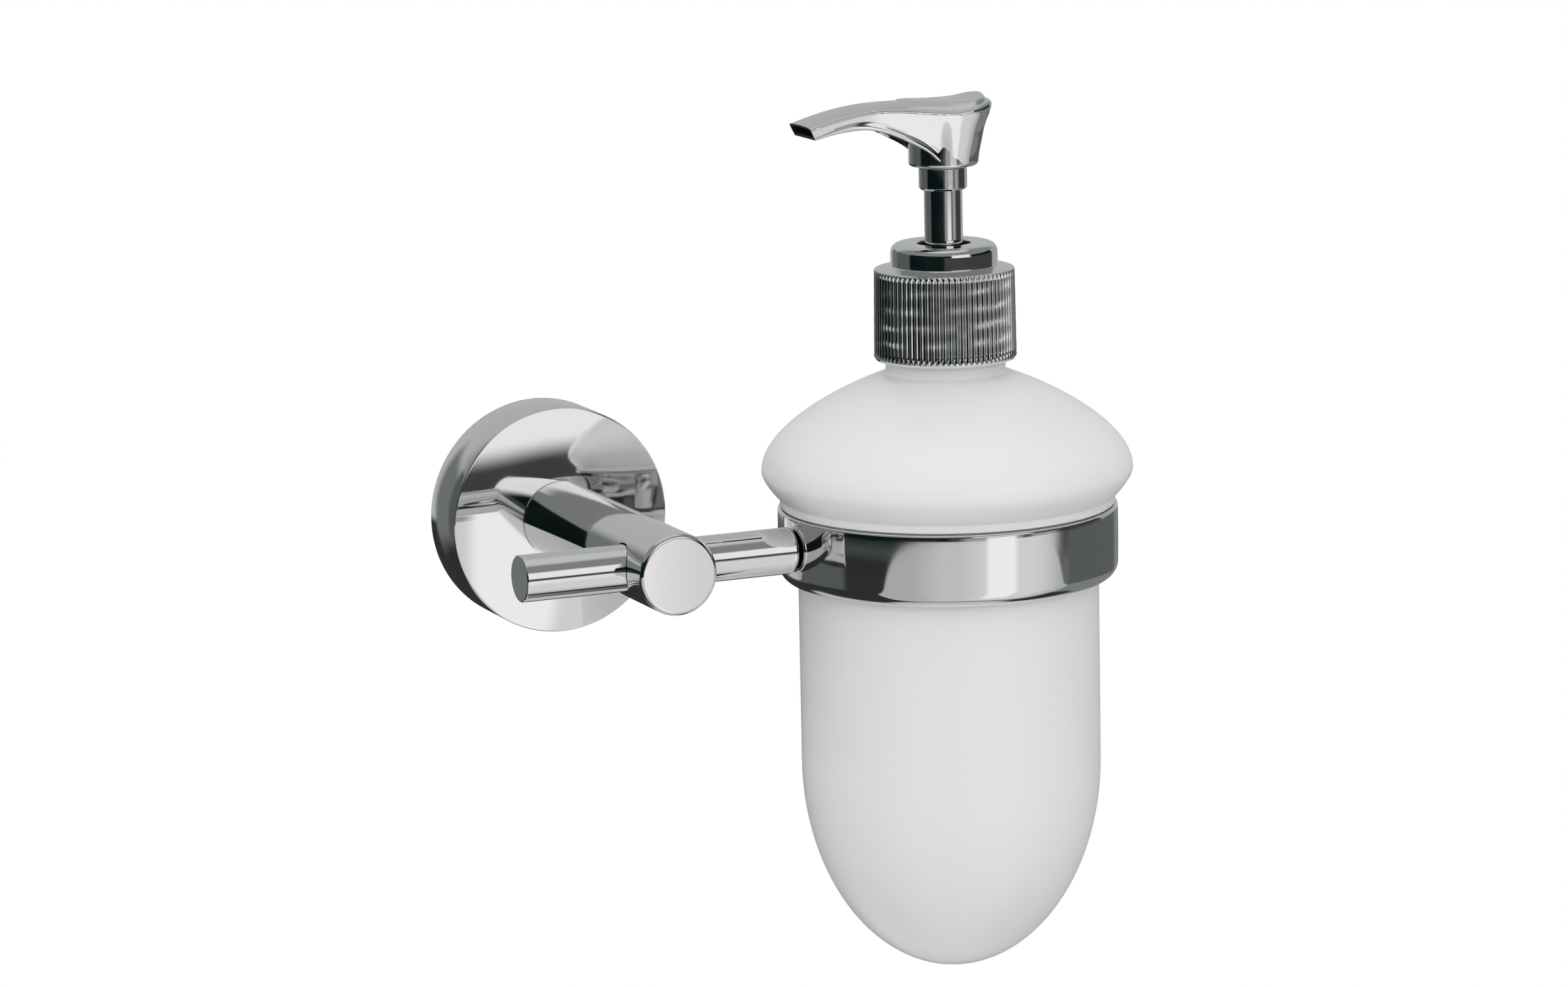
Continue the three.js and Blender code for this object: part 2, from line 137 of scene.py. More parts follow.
# ------------------------------------------------------------------ materials
def polished_chrome():
    """Mirror plate with faint wiping haze and the slight waviness of a buffed surface."""
    material, tree, shader = new_material("polished_chrome")
    shader.inputs["Base Color"].default_value = (0.815, 0.81, 0.81, 1)
    shader.inputs["Metallic"].default_value = 1
    haze = add_noise(tree, 60, 5)
    tree.links.new(remap(tree, haze, 0.35, 0.75, 0.025, 0.07), shader.inputs["Roughness"])
    waves = add_noise(tree, 90, 1)
    add_bump(tree, shader, waves, 0.02, 0.0004)
    return material


def moulded_chrome():
    """Chrome plate on moulded plastic, a little softer than on turned brass."""
    material, tree, shader = new_material("moulded_chrome")
    shader.inputs["Base Color"].default_value = (0.805, 0.80, 0.80, 1)
    shader.inputs["Metallic"].default_value = 1
    haze = add_noise(tree, 220, 5)
    tree.links.new(remap(tree, haze, 0.35, 0.75, 0.04, 0.11), shader.inputs["Roughness"])
    add_bump(tree, shader, add_noise(tree, 160, 2), 0.03, 0.0004)
    return material


def frosted_glass():
    """Etched glass: white and translucent, with a fine grain and faint clouding."""
    material, tree, shader = new_material("frosted_glass")
    shader.inputs["Base Color"].default_value = (0.875, 0.87, 0.863, 1)
    shader.inputs["Transmission Weight"].default_value = 0.35
    shader.inputs["Subsurface Weight"].default_value = 0.4
    shader.inputs["Subsurface Radius"].default_value = (0.006, 0.0058, 0.0055)
    shader.inputs["Coat Weight"].default_value = 0.4
    shader.inputs["Coat Roughness"].default_value = 0.22
    shader.inputs["Coat IOR"].default_value = 1.6
    clouds = add_noise(tree, 45, 3)
    tree.links.new(remap(tree, clouds, 0.3, 0.7, 0.36, 0.46), shader.inputs["Roughness"])
    add_bump(tree, shader, add_noise(tree, 2600, 3), 0.12, 0.0001)
    return material


def satin_steel():
    material, tree, shader = new_material("satin_steel")
    shader.inputs["Base Color"].default_value = (0.56, 0.57, 0.58, 1)
    shader.inputs["Metallic"].default_value = 1
    grain = add_noise(tree, 900, 5, stretch=(1, 1, 0.1))
    tree.links.new(remap(tree, grain, 0.3, 0.8, 0.22, 0.4), shader.inputs["Roughness"])
    return material


def cast_zinc():
    material, tree, shader = new_material("cast_zinc")
    shader.inputs["Base Color"].default_value = (0.46, 0.47, 0.48, 1)
    shader.inputs["Metallic"].default_value = 0.9
    shader.inputs["Roughness"].default_value = 0.5
    add_bump(tree, shader, add_noise(tree, 1800, 5), 0.4, 0.0002)
    return material


def moulded_plastic(name, colour, roughness):
    material, tree, shader = new_material(name)
    shader.inputs["Base Color"].default_value = (*colour, 1)
    grain = add_noise(tree, 700, 4)
    varied = remap(tree, grain, 0.3, 0.8, roughness - 0.05, roughness + 0.1)
    tree.links.new(varied, shader.inputs["Roughness"])
    add_bump(tree, shader, grain, 0.06, 0.0001)
    return material


MATERIALS = {
    "chrome": polished_chrome(),
    "chrome_on_plastic": moulded_chrome(),
    "zinc_casting": cast_zinc(),
    "steel_screws": satin_steel(),
    "frosted_glass": frosted_glass(),
    "white_plastic": moulded_plastic("white_plastic", (0.52, 0.52, 0.50), 0.4),
    "clear_plastic": moulded_plastic("clear_plastic", (0.44, 0.46, 0.46), 0.35),
    # Its black also lines the inside of the pump head and the spout floor, partly as painted shade.
    "dark_plastic": moulded_plastic("dark_plastic", (0.006, 0.008, 0.008), 0.35),
    "seal_rubber": moulded_plastic("seal_rubber", (0.012, 0.012, 0.012), 0.65),
}
MATERIALS["steel_ball"] = MATERIALS["steel_screws"]
MATERIALS["steel_spring"] = MATERIALS["steel_screws"]

SLOTS = {part["node"]: part["material_slot"] for part in frame["record"]["subparts"]}
BEHAVIOUR = frame["record"]["behaviour"]
BODY_OF = {node: body for body, nodes in BEHAVIOUR["bodies"].items() for node in nodes}


def dress_cad_nodes():
    for name, node in frame["nodes"].items():
        node.data.materials.clear()
        node.data.materials.append(MATERIALS[SLOTS[name]])


# ------------------------------------------------------------------ mesh helpers
SIDES = 160


def finish_piece(piece, node, sharp=32, weighted=True):
    """Smooth shading, the material of the node's slot, and its place on the node's body."""
    if not piece.data.materials:
        piece.data.materials.append(MATERIALS[SLOTS[node]])
    piece.data.shade_smooth()
    piece.data.set_sharp_from_angle(angle=math.radians(sharp))
    if weighted:
        piece.modifiers.new("flat_faces", "WEIGHTED_NORMAL").keep_sharp = True
        apply_modifiers(piece)
    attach(piece, BODY_OF[node])
    return piece


def object_from(name, mesh_builder):
    mesh = bpy.data.meshes.new(name)
    bmesh.ops.recalc_face_normals(mesh_builder, faces=mesh_builder.faces)
    mesh_builder.to_mesh(mesh)
    mesh_builder.free()
    piece = bpy.data.objects.new(name, mesh)
    bpy.context.scene.collection.objects.link(piece)
    return piece


def ease(low, high, x):
    """0 below low, 1 above high, and a smooth step between them."""
    t = min(1, max(0, (x - low) / (high - low)))
    return t * t * (3 - 2 * t)


def rounded(profile, steps=6):
    """Replaces each corner given as (r, z, radius) by an arc that touches both its sides."""
    count = len(profile)
    points = []
    for i, corner in enumerate(profile):
        here = Vector(corner[:2])
        radius = corner[2] if len(corner) > 2 else 0
        if not radius:
            points.append(here)
            continue
        before = (Vector(profile[i - 1][:2]) - here).normalized()
        after = (Vector(profile[(i + 1) % count][:2]) - here).normalized()
        half = before.angle(after) / 2
        reach = radius / math.tan(half)
        centre = here + (before + after).normalized() * (radius / math.sin(half))
        start, end = here + before * reach, here + after * reach
        sweep = (start - centre).angle_signed(end - centre)
        for step in range(steps + 1):
            spoke = start - centre
            spoke.rotate(Matrix.Rotation(-sweep * step / steps, 2))
            points.append(centre + spoke)
    return points


def arc(centre, reach, start, end, steps=10):
    """Points on a circle in the (radius, height) plane, from one angle to another in degrees."""
    points = []
    for i in range(steps + 1):
        angle = math.radians(start + (end - start) * i / steps)
        points.append((centre[0] + reach * math.cos(angle), centre[1] + reach * math.sin(angle)))
    return points


def bezier(p0, p1, p2, p3, steps):
    """Points on the cubic curve with these four control points."""
    points = []
    for i in range(steps + 1):
        t = i / steps
        a, b, c, d = (1 - t) ** 3, 3 * (1 - t) ** 2 * t, 3 * (1 - t) * t * t, t ** 3
        point = a * Vector(p0) + b * Vector(p1) + c * Vector(p2) + d * Vector(p3)
        points.append(tuple(point))
    return points


def close_tube(builder, loops):
    """Faces between the loops in turn, and one over each end."""
    count = len(loops[0])
    for first, second in zip(loops, loops[1:]):
        for k in range(count):
            m = (k + 1) % count
            builder.faces.new((first[k], first[m], second[m], second[k]))
    builder.faces.new(loops[0])
    builder.faces.new(loops[-1])


def turned(name, profile, place, axis="Z", sides=SIDES, wobble=None):
    """Turns a closed profile of (radius, height) round an axis. A point on the axis is one vertex."""
    builder = bmesh.new()
    rings = []
    for r, h in profile:
        if r < 1e-7:
            rings.append([builder.verts.new((0, 0, h))])
            continue
        ring = []
        for k in range(sides):
            angle = 2 * math.pi * k / sides
            radius = r if wobble is None else wobble(r, h, angle)
            ring.append(builder.verts.new((radius * math.cos(angle), radius * math.sin(angle), h)))
        rings.append(ring)
    for first, second in zip(rings, rings[1:] + rings[:1]):
        if len(first) == 1 and len(second) == 1:
            continue
        for k in range(sides):
            m = (k + 1) % sides
            corners = [first[k % len(first)], first[m % len(first)]]
            corners += [second[m % len(second)], second[k % len(second)]]
            unique = list(dict.fromkeys(corners))
            builder.faces.new(unique)
    piece = object_from(name, builder)
    quarter = math.pi / 2
    turns = {
        "Z": Matrix.Identity(4),
        "-Y": Matrix.Rotation(quarter, 4, "X"),
        "X": Matrix.Rotation(quarter, 4, "Y"),
    }
    piece.data.transform(Matrix.Translation(place) @ turns[axis])
    return piece


def drill(piece, tool_profile, place, axis, sides=64):
    """Cuts a turned tool out of a piece."""
    tool = turned("tool", tool_profile, place, axis, sides)
    modifier = piece.modifiers.new("drill", "BOOLEAN")
    modifier.operation = "DIFFERENCE"
    modifier.solver = "EXACT"
    modifier.object = tool
    apply_modifiers(piece)
    bpy.data.objects.remove(tool)


def apply_modifiers(piece):
    bpy.context.view_layer.update()
    graph = bpy.context.evaluated_depsgraph_get()
    mesh = bpy.data.meshes.new_from_object(piece.evaluated_get(graph))
    piece.modifiers.clear()
    piece.data = mesh


def rod(radius, low, high):
    """The profile of a plain cylinder."""
    return [(0, low), (radius, low), (radius, high), (0, high)]


# ------------------------------------------------------------------ places from the frame
def span(node, axis):
    low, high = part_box(node)
    return low["xyz".index(axis)], high["xyz".index(axis)]


def radius_of(node, axis):
    low, high = span(node, axis)
    return (high - low) / 2


def middle(node):
    low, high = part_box(node)
    return (low + high) / 2


PUMP_AXIS = Vector((middle("stem_sleeve").x, middle("stem_sleeve").y, 0))
BAR_Y = PUMP_AXIS.y


# ------------------------------------------------------------------ holder
SCREW_BORE = 3.3 * MM  # for the screw that joins the rosette and the post


def make_rosette():
    radius = radius_of("rosette", "x")
    depth = -span("rosette", "y")[0]
    wall, face = 1.5 * MM, 2 * MM
    back_edge, front_edge, inner_edge = 0.25 * MM, 0.55 * MM, 1 * MM
    piece = turned("rosette_shell", rounded([
        (radius - wall, 0), (radius, 0, back_edge), (radius, depth, front_edge),
        (SCREW_BORE, depth), (SCREW_BORE, depth - face), (radius - wall, depth - face, inner_edge),
    ], 2), Vector(), "-Y", 224)
    hole = middle("rosette_grub_screw")
    grub_hole = rod(2.3 * MM, -1.2 * radius, -0.8 * radius)
    drill(piece, grub_hole, Vector((0, hole.y, 0)), "Z", 48)
    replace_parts(finish_piece(piece, "rosette", weighted=False), "rosette")


def make_post():
    radius = radius_of("post", "x")
    front, back = -span("post", "y")[0], -span("post", "y")[1]
    bore_depth, back_edge, front_edge = 32 * MM, 0.3 * MM, 1.1 * MM
    piece = turned("post_bar", rounded([
        (SCREW_BORE, back), (radius, back, back_edge), (radius, front, front_edge), (0, front),
        (0, bore_depth), (SCREW_BORE, bore_depth),
    ]), Vector(), "-Y", 192)
    opening = radius_of("crossbar", "z") + 0.3 * MM
    set_screw_hole = 2 * MM
    drill(piece, rod(opening, -2 * radius, 2 * radius), Vector((0, BAR_Y, 0)), "X", 96)
    drill(piece, rod(set_screw_hole, -1.2 * radius, 0), Vector((0, BAR_Y, 0)), "Z", 48)
    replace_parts(finish_piece(piece, "post"), "post")


def make_crossbar():
    radius = radius_of("crossbar", "z")
    left, right = span("crossbar", "x")
    bore, bore_depth = 2.3 * MM, 20 * MM
    free_edge, ring_edge = 0.4 * MM, 0.9 * MM
    piece = turned("crossbar_rod", rounded([
        (0, left), (radius, left, free_edge), (radius, right, ring_edge), (bore, right),
        (bore, bore_depth), (0, bore_depth),
    ]), Vector((0, BAR_Y, 0)), "X", 144)
    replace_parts(finish_piece(piece, "crossbar"), "crossbar")


def make_ring():
    """A band with a faintly crowned face, curled in underneath to a lip that carries the bottle."""
    radius = radius_of("holder_ring", "x")
    foot, top = span("holder_ring", "z")
    wall, curl, crown, rim = 1.6 * MM, 3.6 * MM, 0.06 * MM, 0.7 * MM
    lip, lip_round = 35.4 * MM, 0.3 * MM
    side = radius - crown
    profile = [(lip, foot + lip_round), (lip + lip_round, foot)]
    profile += arc((side - curl, foot + curl), curl, -90, 0, 14)
    low, high = foot + curl, top - rim
    for i in range(1, 16):
        t = i / 16
        profile.append((side + crown * (1 - (2 * t - 1) ** 2), low + (high - low) * t))
    profile += arc((side - rim, high), rim, 0, 180, 14)
    inner = side - 2 * rim
    profile += arc((inner - curl + wall, foot + curl), curl - wall, 0, -90, 8)
    profile += [(lip + lip_round, foot + wall), (lip, foot + wall - lip_round)]
    piece = turned("ring_band", profile, PUMP_AXIS, "Z", 256)
    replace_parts(finish_piece(piece, "holder_ring"), "holder_ring")


# ------------------------------------------------------------------ glass bottle
GLASS_WALL = 3 * MM
BODY_RADIUS = 35.05 * MM
ROUND_START = -53.5 * MM
SHOULDER_FOOT, SHOULDER_TOP = -8.2 * MM, -4.2 * MM
IN_RING_RADIUS = 37.4 * MM
BELT_RADIUS, BELT_TOP = 39 * MM, 9.4 * MM
RIM_HEIGHT = 15.7 * MM
DOME_TOP = 38.3 * MM
NECK_RADIUS, NECK_BORE = 13.9 * MM, 10.5 * MM


def rounded_end(radius, bottom, steps=44):
    """A quarter ellipse from the axis out to the wall of the body."""
    depth = ROUND_START - bottom
    angles = [math.pi / 2 * i / steps for i in range(steps + 1)]
    return [(radius * math.sin(a), ROUND_START - depth * math.cos(a)) for a in angles]


def dome(inset, foot, neck_radius, rim_radius, steps=36):
    """From the undercut foot round the rim and up to the neck."""
    rim = (rim_radius - inset, RIM_HEIGHT)
    neck = (neck_radius, DOME_TOP - 1.1 * inset)
    # Each curve leaves its ends towards these two points.
    from_foot = (foot[0] + 0.4 * MM, foot[1] + 0.3 * MM)
    up_to_rim = (rim[0], rim[1] - 2.1 * MM)
    from_rim = (rim[0], rim[1] + 9.3 * MM - inset)
    up_to_neck = (neck[0] + 11 * MM, neck[1] - 3.9 * MM)
    under = bezier(foot, from_foot, up_to_rim, rim, steps // 2)
    over = bezier(rim, from_rim, up_to_neck, neck, steps)
    return under[:-1] + over


def make_bottle():
    bottom, top = span("glass_body", "z")[0], span("glass_dome", "z")[1]
    rim = radius_of("glass_dome", "x")
    belt_foot = span("holder_ring", "z")[1] + 0.3 * MM
    inner_ring = IN_RING_RADIUS - GLASS_WALL
    outside = rounded_end(BODY_RADIUS, bottom)
    outside += bezier((BODY_RADIUS, SHOULDER_FOOT), (BODY_RADIUS, SHOULDER_FOOT + 2 * MM),
                      (IN_RING_RADIUS, SHOULDER_TOP - 2 * MM), (IN_RING_RADIUS, SHOULDER_TOP), 10)
    belt_edge = 0.2 * MM
    outside += [(IN_RING_RADIUS, belt_foot), (BELT_RADIUS - belt_edge, belt_foot)]
    outside += [(BELT_RADIUS, belt_foot + belt_edge)]
    outside += dome(0, (BELT_RADIUS, BELT_TOP), NECK_RADIUS + 0.6 * MM, rim)
    outside += [(NECK_RADIUS + 0.15 * MM, DOME_TOP + 0.25 * MM), (NECK_RADIUS, DOME_TOP + 0.9 * MM)]
    outside += [(NECK_RADIUS, top - 0.8 * MM), (NECK_RADIUS - 0.25 * MM, top - 0.25 * MM)]
    outside += [(NECK_RADIUS - 0.8 * MM, top)]
    inside = rounded_end(BODY_RADIUS - GLASS_WALL, bottom + GLASS_WALL)
    inside += [(BODY_RADIUS - GLASS_WALL, SHOULDER_FOOT), (inner_ring, SHOULDER_TOP)]
    inside += dome(GLASS_WALL, (inner_ring, BELT_TOP), NECK_BORE, rim)
    mouth_edge = 0.5 * MM
    inside += [(NECK_BORE, top - mouth_edge), (NECK_BORE + mouth_edge, top)]
    piece = turned("bottle_glass", outside + inside[::-1], PUMP_AXIS, "Z", 256)
    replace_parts(finish_piece(piece, "glass_body", 50), "glass_body", "glass_dome")


def make_thread():
    """The raised screw thread on the glass neck, under the collar."""
    turns, steps, low, pitch, rise = 2.2, 176, 46 * MM, 4.2 * MM, 0.34 * MM
    root, half_root, half_crest = -0.6 * MM, 0.9 * MM, 0.35 * MM
    section = [(root, -half_root), (rise, -half_crest), (rise, half_crest), (root, half_root)]
    builder = bmesh.new()
    loops = []
    for i in range(steps + 1):
        t = i / steps
        angle = 2 * math.pi * turns * t
        swell = min(1, 12 * t, 12 * (1 - t)) ** 0.5
        loop = []
        for out, up in section:
            radius = NECK_RADIUS + (out if out < 0 else out * swell)
            height = low + pitch * turns * t + up
            loop.append(builder.verts.new((radius * math.cos(angle), radius * math.sin(angle), height)))
        loops.append(loop)
    close_tube(builder, loops)
    piece = object_from("neck_thread", builder)
    piece.data.transform(Matrix.Translation(PUMP_AXIS))
    finish_piece(piece, "glass_dome", 50)


# ------------------------------------------------------------------ collar
RIDGES = 75
RIDGE_DEPTH = 0.75 * MM
WAVE_DEPTH, WAVE_LENGTH, PATCH_SIZE = 0.02 * MM, 4 * MM, 5 * MM


def make_collar():
    foot, top = span("collar", "z")
    radius = radius_of("collar", "x")
    shoulder, top_radius, tier = 62.2 * MM, 16.3 * MM, 12.4 * MM
    bore, inner, hole, wall, roof = 14.3 * MM, 9.8 * MM, 6.2 * MM, 1.5 * MM, 61.2 * MM
    ridge_low, ridge_high = foot + 1.3 * MM, shoulder + 0.1 * MM

    def ridged(r, h, angle):
        if r < bore + 0.3 * MM or not ridge_low - 1 * MM < h < ridge_high + 1 * MM:
            return r
        from_foot = (h - ridge_low + 0.35 * MM) / (0.7 * MM)
        from_top = (ridge_high + 0.2 * MM - h) / (0.75 * MM)
        ends = max(0, min(1, from_foot, from_top))
        valley = 1 - abs(math.cos(RIDGES * angle / 2)) ** 0.8
        patchy = 0.5 + noise.noise(Vector((3 * math.cos(angle), 3 * math.sin(angle), h / PATCH_SIZE)))
        wave = WAVE_DEPTH * patchy * math.sin(2 * math.pi * h / WAVE_LENGTH - angle)
        return r - (RIDGE_DEPTH * valley + 0.03 * MM - wave) * (3 * ends * ends - 2 * ends ** 3)

    side = []
    steps, side_foot = 34, foot + 0.75 * MM
    for i in range(steps + 1):
        h = side_foot + (shoulder - side_foot) * i / steps
        side.append((radius + (top_radius - radius) * (h - foot) / (shoulder - foot), h))
    profile = rounded([
        (bore, foot), (radius - 0.55 * MM, foot, 0.25 * MM),
        (radius - 0.3 * MM, foot + 0.3 * MM, 0.2 * MM), *side,
        (top_radius - 0.2 * MM, shoulder + 0.3 * MM),
        (top_radius - 0.75 * MM, shoulder + 0.5 * MM, 0.5 * MM),
        (tier, shoulder + 1.15 * MM, 0.35 * MM), (tier, top, 2.1 * MM), (hole, top, 0.4 * MM),
        (hole, top - wall), (inner, top - wall), (inner, roof), (bore, roof),
    ])
    piece = turned("collar_cap", profile, PUMP_AXIS, "Z", RIDGES * 12, ridged)
    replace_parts(finish_piece(piece, "collar", 45), "collar")


# ------------------------------------------------------------------ pump
STEM_BORE = 4.75 * MM


def make_stem():
    foot, top = span("stem_sleeve", "z")
    radius = radius_of("stem_sleeve", "x")
    bore = 3.4 * MM
    piece = turned("stem_tube", rounded([
        (bore, foot), (radius, foot, 0.3 * MM), (radius, top, 0.2 * MM), (bore, top),
    ]), PUMP_AXIS, "Z", 144)
    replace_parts(finish_piece(piece, "stem_sleeve"), "stem_sleeve")


def make_ferrule():
    foot, top = span("ferrule", "z")
    radius = radius_of("ferrule", "x")
    chamfer, edge = 0.5 * MM, 0.12 * MM
    piece = turned("ferrule_ring", rounded([
        (STEM_BORE, foot, edge), (radius - chamfer, foot, edge), (radius, foot + chamfer, edge),
        (radius, top, edge), (STEM_BORE, top),
    ]), PUMP_AXIS, "Z", 144)
    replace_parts(finish_piece(piece, "ferrule"), "ferrule")


def make_guide():
    """The bush that the stem slides in, with a flange that the collar holds down."""
    foot, top = span("stem_guide", "z")
    outer, flange, thick, edge = 7.3 * MM, 9.2 * MM, 0.6 * MM, 0.2 * MM
    lip, dish = 5.7 * MM, 0.4 * MM
    piece = turned("stem_bush", rounded([
        (STEM_BORE, foot), (outer, foot, edge), (outer, top - thick), (flange, top - thick),
        (flange, top), (lip + dish, top, edge), (lip, top - dish, edge), (STEM_BORE, top - dish, edge),
    ]), PUMP_AXIS, "Z", 96)
    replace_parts(finish_piece(piece, "stem_guide"), "stem_guide")


def make_dip_tube():
    foot, top = span("dip_tube", "z")
    outer, inner = radius_of("dip_tube", "x"), 1.9 * MM
    profile = rounded([(inner, foot), (outer, foot), (outer, top, 0.2 * MM), (inner, top)])
    piece = turned("suction_tube", profile, PUMP_AXIS, "Z", 64)
    slant = math.tan(math.pi / 5)
    for vertex in piece.data.vertices:
        if vertex.co.z < foot + 0.01 * MM:
            vertex.co.z += (vertex.co.x - PUMP_AXIS.x + outer) * slant * 0.8
    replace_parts(finish_piece(piece, "dip_tube"), "dip_tube")


def make_spring():
    """The return spring, with closed ends."""
    foot, top = span("return_spring", "z")
    wire, turns, steps, sides = 0.45 * MM, 7, 44, 10
    radius = radius_of("return_spring", "x") - wire
    builder = bmesh.new()
    loops = []
    for i in range(turns * steps + 1):
        t = i / (turns * steps)
        angle = 2 * math.pi * i / steps
        outward = Vector((math.cos(angle), math.sin(angle), 0))
        rise = 0.3 * t + 0.7 * ease(0.06, 0.94, t)
        centre = radius * outward + Vector((0, 0, foot + wire + (top - foot - 2 * wire) * rise))
        loop = []
        for k in range(sides):
            turn = 2 * math.pi * k / sides
            spoke = math.cos(turn) * outward + Vector((0, 0, math.sin(turn)))
            loop.append(builder.verts.new(centre + wire * spoke))
        loops.append(loop)
    close_tube(builder, loops)
    piece = object_from("spring_wire", builder)
    piece.data.transform(Matrix.Translation(PUMP_AXIS))
    finish_piece(piece, "return_spring")
    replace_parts(piece, "return_spring")
    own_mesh(piece)


# ------------------------------------------------------------------ pump head
# Outlines of the head in millimetres: x from the pump's axis with the spout at -x, heights from the
# origin. HEAD_PLAN is half the width, HEAD_CROWN is how far the top rises above the rim.
HEAD_PLAN = (
    (-39, 5.95), (-35.8, 6.0), (-26, 6.15), (-15, 6.6), (-6, 7.9), (1, 8.85), (6, 8.6), (9.7, 6.8),
    (11.5, 3.5), (11.95, 0),
)
HEAD_PLAN_TABLE = HEAD_PLAN[:-1] + ((11.95, 0.01),)
HEAD_RIM = (
    (-39.5, 96.3), (-36, 97.7), (-30, 99.35), (-25, 100.3), (-20, 100.85), (-15, 100.85),
    (-10, 100.4), (-5, 99.9), (0, 99.65), (4, 100.0), (7, 100.6), (10, 101.3), (12, 101.5),
)
HEAD_CROWN = (
    (-36, 0.3), (-26, 0.6), (-17, 0.95), (-12, 1.3), (-6, 2.0), (0, 2.3), (5, 2.3), (8, 2.2),
    (10, 1.8), (12, 0.7),
)
HEAD_FOOT = 86.4
HEAD_UNDER = (
    (-39.5, 92.6), (-36, 94.2), (-34.4, 94.9), (-28, 96.1), (-22, 96.45), (-18.5, 95.9),
    (-16, 95.1), (-13.3, 93.95), (-10.6, 92.5), (-8, 90.85), (-6, 89.3), (-4.5, 87.9),
    (-3.2, 86.55), (-2, HEAD_FOOT), (12, HEAD_FOOT),
)
# The flare's outline round the hub, as (height, radius).
HEAD_FLARE = (
    (86, 8.15), (88.7, 8.45), (91, 8.9), (93.2, 9.4), (95.2, 9.85), (96.8, 10.5), (98.3, 11.3),
    (99.6, 11.9), (101, 13), (104, 15),
)
# Half the width of the thumb pad.
PAD = ((-12, 0), (-10, 2.6), (-7, 4.2), (-3, 5.3), (2, 6.2), (7, 6.6), (10, 5.4), (12, 2))
OUTLET_TOP, OUTLET_SLOPE = 97.9, 0.485
DRAFT = 0.07  # how far the spout's sides lean in per millimetre down
HUB_BORE = 3.4 * MM


def along(table, x):
    """The value at x of a smooth curve through the table's points."""
    if x <= table[0][0]:
        return table[0][1]
    if x >= table[-1][0]:
        return table[-1][1]
    k = max(i for i in range(len(table) - 1) if table[i][0] <= x)
    slopes = []
    for i in (k, k + 1):
        low, high = table[max(i - 1, 0)], table[min(i + 1, len(table) - 1)]
        slopes.append((high[1] - low[1]) / (high[0] - low[0]))
    (x0, y0), (x1, y1) = table[k], table[k + 1]
    width = x1 - x0
    t = (x - x0) / width
    rise = (2 * t ** 3 - 3 * t ** 2 + 1) * y0 + (3 * t ** 2 - 2 * t ** 3) * y1
    return rise + width * ((t ** 3 - 2 * t ** 2 + t) * slopes[0] + (t ** 3 - t ** 2) * slopes[1])


def smooth_path(points, step):
    """Points about one step apart on a smooth curve through the given ones."""
    path = []
    last = len(points) - 1
    for k in range(last):
        a, b, c, d = (Vector(points[min(max(i, 0), last)]) for i in (k - 1, k, k + 1, k + 2))
        count = max(2, round((c - b).length / step))
        for i in range(count):
            t = i / count
            path.append(b * (2 * t ** 3 - 3 * t ** 2 + 1) + c * (3 * t ** 2 - 2 * t ** 3)
                        + (c - a) / 2 * (t ** 3 - 2 * t ** 2 + t) + (d - b) / 2 * (t ** 3 - t ** 2))
    path.append(Vector(points[-1]))
    return path


def head_top(x, y):
    """Height of the top of the head: crowned, with a raised thumb pad that is dished in its middle."""
    half = max(along(HEAD_PLAN_TABLE, x), 0.5)
    crown = 1 - min(1, abs(y) / half) ** 2.3
    pad = along(PAD, x)
    inside = pad - abs(y)
    step = 0.28 * ease(-0.5, 0.5, inside) * ease(-12.5, -10.5, x) * (1 - ease(0, 6, x))
    dish = 0.75 * ease(0, 4.5, inside) * ease(-10, -2, x) * (1 - 0.7 * ease(7, 11, x))
    return along(HEAD_RIM, x) + along(HEAD_CROWN, x) * crown + step - dish


def soft_plus(value, width):
    """The value where it is well above nothing, and a smooth run down to nothing below."""
    if value > 12 * width:
        return value
    return width * math.log1p(math.exp(value / width))


def wall_point(spot, outward, offset, z):
    """A point of the side wall, drawn in to the hub where the flare is narrower than the plan."""
    x, y = spot.x + outward.x * offset, spot.y + outward.y * offset
    reach = math.hypot(x, y)
    limit = along(HEAD_FLARE, z) + offset
    weight = ease(-12, -1, spot.x)
    narrowed = limit - soft_plus(limit - reach, 1.0)
    scale = 1 + (narrowed / reach - 1) * weight
    return Vector((x * scale, y * scale, z))


